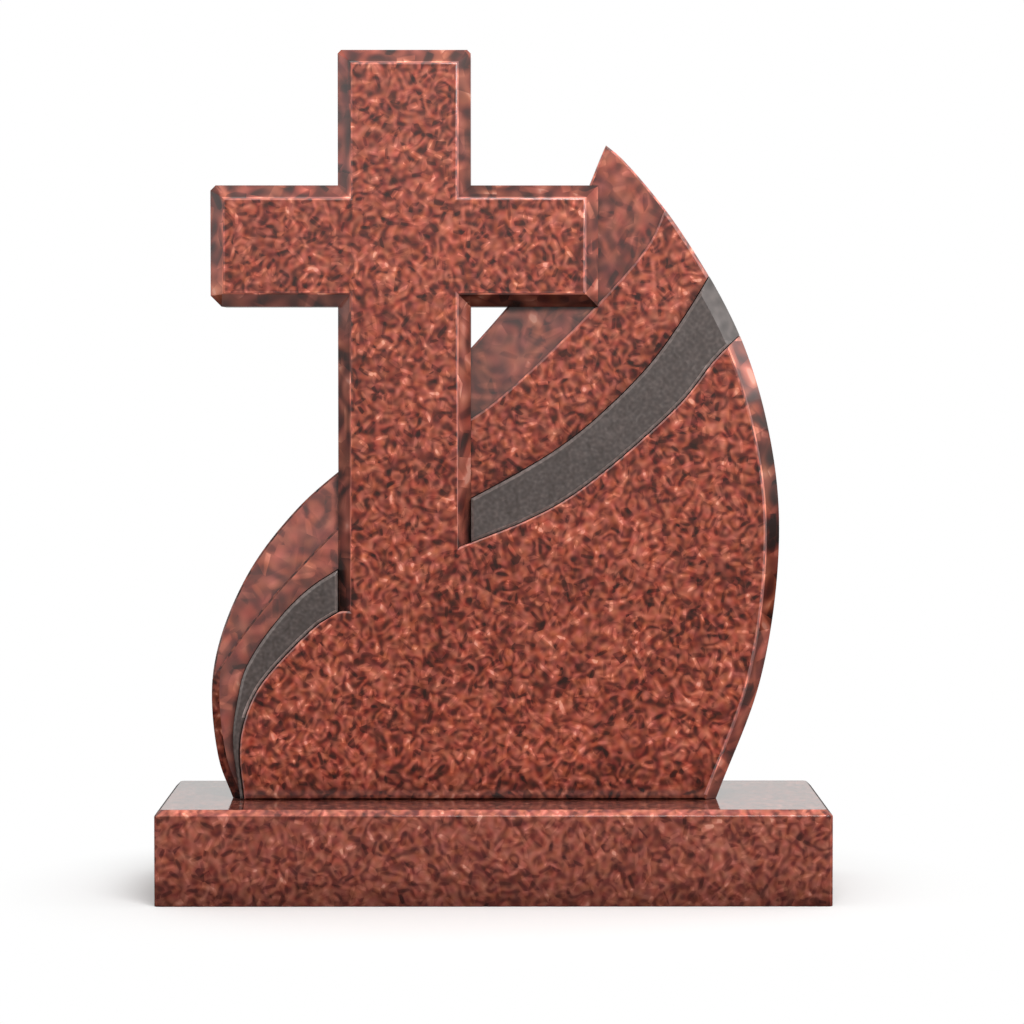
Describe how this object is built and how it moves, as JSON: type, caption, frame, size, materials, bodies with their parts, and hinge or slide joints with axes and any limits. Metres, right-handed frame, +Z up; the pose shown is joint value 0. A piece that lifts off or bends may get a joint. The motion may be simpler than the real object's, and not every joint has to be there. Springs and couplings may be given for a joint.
{
  "type": "cross headstone on a plinth",
  "caption": "Polished red granite gravestone: a plain chamfered Latin cross before a flame-shaped slab with dark inlaid bands, on a low plinth.",
  "frame": {"origin": "middle of the plinth's underside", "axes": "+Z up, -Y out of the carved front, +X to the viewer's right when facing the front"},
  "size_m": [0.701, 0.3, 0.8901],
  "materials": {
    "red_granite": "polished, coarse red and black grain",
    "base_granite": "polished, coarse red and black grain, mirror-like top",
    "dark_granite": "finely honed dark grey, fine grain"
  },
  "bodies": {
    "root": {"base": "base_granite", "headstone": "red_granite", "ribbon_right": "dark_granite", "ribbon_left": "dark_granite"}
  },
  "joints": []
}
